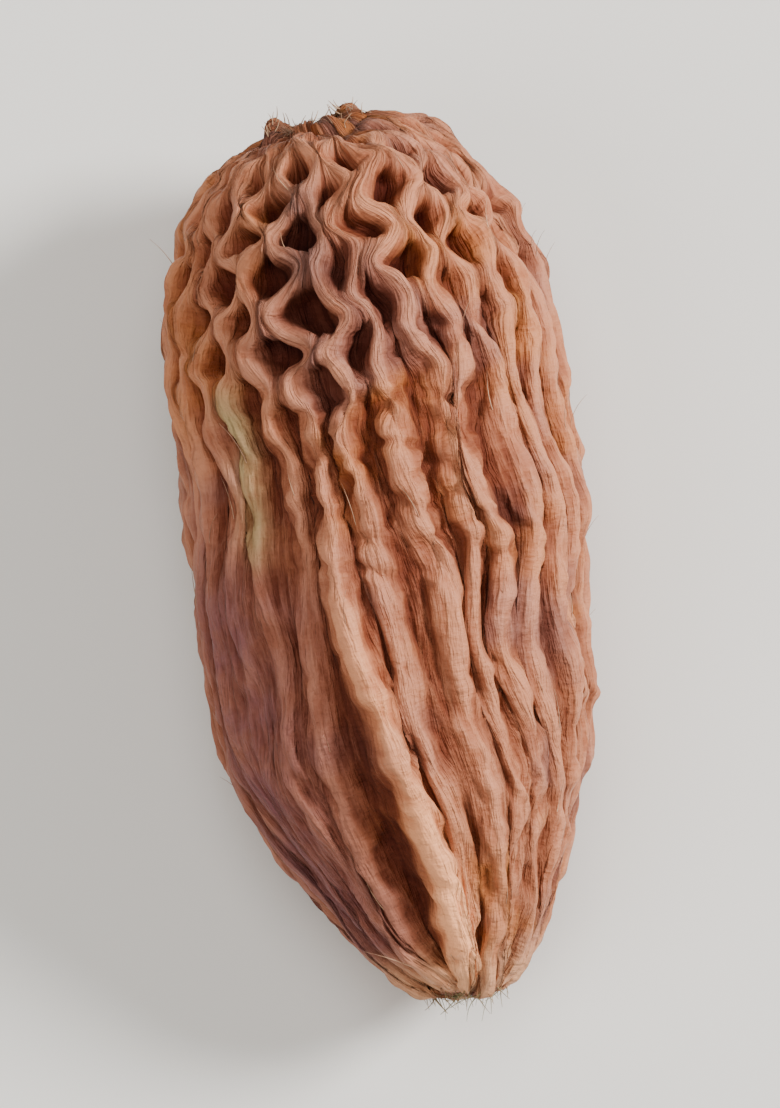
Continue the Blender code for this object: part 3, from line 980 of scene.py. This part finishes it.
# %% [markdown]
# ## Loose fibres
#
# A dried husk frays. A few fibres peel off the crests, a tuft of them is left where the stalk
# broke away, and a dry fringe is left of the flower. They are grown by one tree that scatters
# points over the skin, as thickly as a mark says, and stands a thin bent fibre on each. Hair
# curves would be lighter, but the export drops them, so the fibres are thin tubes. Each one has
# three sides and a few steps, because there are hundreds.

# %% Size of one fibre
FIBRE_STEPS = 5
FIBRE_SIDES = 3
FIBRE_BOW = 0.35  # how far its end bends to the side, as a share of its length
FIBRE_ROOT = -0.08  # where it starts, as a share of its length: just under the skin
FIBRE_TIP = 0.25  # how thick its end is, as a share of its root
FIBRE_SIZES = (0.5, 1.3)  # the smallest and the largest, against the length given
print("faces of one fibre:", FIBRE_STEPS * FIBRE_SIDES + 2)


# %% How a fibre stands and bends
def fibre_turns(tree, given, roots):
    """Each fibre leans along the grain and off the skin, and a random way on top of that."""
    along = add(tree, READ, {"Name": "along"}, data_type="FLOAT_VECTOR")
    along = add(tree, VECTOR, {0: along, "Scale": given["Lean"]}, operation="SCALE")
    stray = {0: (-1.0, -1.0, -1.0), 1: (1.0, 1.0, 1.0), "Seed": given["Seed"]}
    stray = add(tree, "FunctionNodeRandomValue", stray, data_type="FLOAT_VECTOR")
    stray = add(tree, VECTOR, {0: stray, "Scale": given["Spread"]}, operation="SCALE")
    way = add(tree, VECTOR, {0: roots.node.outputs["Normal"], 1: along})
    way = add(tree, VECTOR, {0: way, 1: stray})
    turn = add(tree, "FunctionNodeAlignRotationToVector", {"Vector": way}, axis="Z")
    spin = {2: -math.pi, 3: math.pi, "Seed": given["Seed"]}
    spin = add(tree, "FunctionNodeRandomValue", spin, out=1)
    spin = add(tree, "ShaderNodeCombineXYZ", {"Z": spin})
    return add(tree, "FunctionNodeRotateRotation", {0: turn, 1: spin}, rotation_space="LOCAL")


def one_fibre(tree, given):
    """A thin tube that bends to the side and thins towards its end."""
    length = given["Length"]
    side = add(tree, NUMBER, {0: length, 1: FIBRE_BOW}, operation="MULTIPLY")
    half = add(tree, NUMBER, {0: length, 1: 0.5}, operation="MULTIPLY")
    root = add(tree, NUMBER, {0: length, 1: FIBRE_ROOT}, operation="MULTIPLY")
    bow = {
        "Resolution": FIBRE_STEPS,
        "Start": add(tree, "ShaderNodeCombineXYZ", {"Z": root}),
        "Middle": add(tree, "ShaderNodeCombineXYZ", {"Z": half}),
        "End": add(tree, "ShaderNodeCombineXYZ", {"X": side, "Z": length}),
    }
    bow = add(tree, "GeometryNodeCurveQuadraticBezier", bow)
    taper = {"Value": add(tree, "GeometryNodeSplineParameter"), "To Min": 1.0, "To Max": FIBRE_TIP}
    taper = add(tree, REMAP, taper)
    ring = {"Resolution": FIBRE_SIDES, "Radius": given["Radius"]}
    ring = add(tree, "GeometryNodeCurvePrimitiveCircle", ring)
    tube = {"Curve": bow, "Profile Curve": ring, "Scale": taper, "Fill Caps": True}
    return add(tree, "GeometryNodeCurveToMesh", tube)


# %% Fibre tree
def make_fibre_tree():
    kinds = {"Mark": "String", "Density": "Float", "Length": "Float", "Radius": "Float"}
    kinds |= {"Lean": "Float", "Spread": "Float", "Seed": "Int", "Material": "Material"}
    tree, given = new_tree("loose fibres", kinds)
    here = add(tree, READ, {"Name": given["Mark"]}, data_type="FLOAT")
    thick = add(tree, NUMBER, {0: here, 1: given["Density"]}, operation="MULTIPLY")
    scatter = {"Mesh": given["Geometry"], "Density": thick, "Seed": given["Seed"]}
    roots = add(tree, "GeometryNodeDistributePointsOnFaces", scatter)
    turn = fibre_turns(tree, given, roots)
    size = {2: FIBRE_SIZES[0], 3: FIBRE_SIZES[1], "Seed": given["Seed"]}
    size = add(tree, "FunctionNodeRandomValue", size, out=1)
    grown = {"Points": roots, "Instance": one_fibre(tree, given), "Rotation": turn, "Scale": size}
    grown = add(tree, "GeometryNodeInstanceOnPoints", grown)
    grown = add(tree, "GeometryNodeRealizeInstances", {"Geometry": grown})
    above = {0: add(tree, "GeometryNodeInputPosition"), 1: LOWEST_PLACE}
    above = add(tree, VECTOR, above, operation="MAXIMUM")
    grown = add(tree, "GeometryNodeSetPosition", {"Geometry": grown, "Position": above})
    grown = {"Geometry": grown, "Material": given["Material"]}
    add(tree, "NodeGroupOutput", {"Geometry": add(tree, "GeometryNodeSetMaterial", grown)})
    return tree


fibre_tree = make_fibre_tree()
print("nodes in the fibre tree:", len(fibre_tree.nodes))

# %% Grow the fibres
FIBRE_SPOTS = 0.5 * MM
FIBRE_SPOT_NOISE = (0.3, 0.7)  # from the dark colour to the light one
FIBRE_ROUGHNESS = 0.7
# For each kind: the mark that it grows on, how many to a square metre, its length and radius,
# how far it leans along the grain and strays, and its dark and its light colour.
FIBRES = {
    "crest_fibres": ("crest", 1.3e5, 1.1 * MM, 0.018 * MM, 4.5, 0.6, "#7c523c", "#c99c79"),
    "stalk_fibres": ("scar", 6.0e6, 0.55 * MM, 0.022 * MM, -1.2, 0.7, "#64502f", "#ab9062"),
    "stalk_threads": ("scar", 4.0e5, 1.7 * MM, 0.030 * MM, -1.5, 0.7, "#4d4a24", "#98925a"),
    "flower_fringe": ("cup", 5.0e6, 0.40 * MM, 0.028 * MM, 0.5, 0.6, "#6d4c38", "#b8916e"),
}


def make_fibre_material(name, dark, light):
    """Dry plant fibre, torn: matte, with a colour that runs from dark to light in spots."""
    material, tree, shader = new_material(name)
    place = add(tree, "ShaderNodeTexCoord", out="Object")
    spots = add(tree, NOISE, {"Vector": place, "Scale": 1 / FIBRE_SPOTS})
    stops = tuple(zip(FIBRE_SPOT_NOISE, (dark, light)))
    colour = add(tree, "ShaderNodeValToRGB", {"Fac": spots}, stops=stops)
    tree.links.new(colour, shader.inputs["Base Color"])
    shader.inputs["Roughness"].default_value = FIBRE_ROUGHNESS
    return material


for seed, (name, facts) in enumerate(FIBRES.items()):
    mark, density, length, radius, lean, spread, dark, light = facts
    piece = bpy.data.objects.new(name, husk.data)
    bpy.context.scene.collection.objects.link(piece)
    sizes = {"Mark": mark, "Density": density, "Length": length, "Radius": radius, "Lean": lean}
    sizes |= {"Spread": spread, "Seed": seed, "Material": make_fibre_material(name, dark, light)}
    piece.data = run_tree(piece, fibre_tree, sizes)
    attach(piece, "root")
    print(name, "faces:", len(piece.data.polygons))
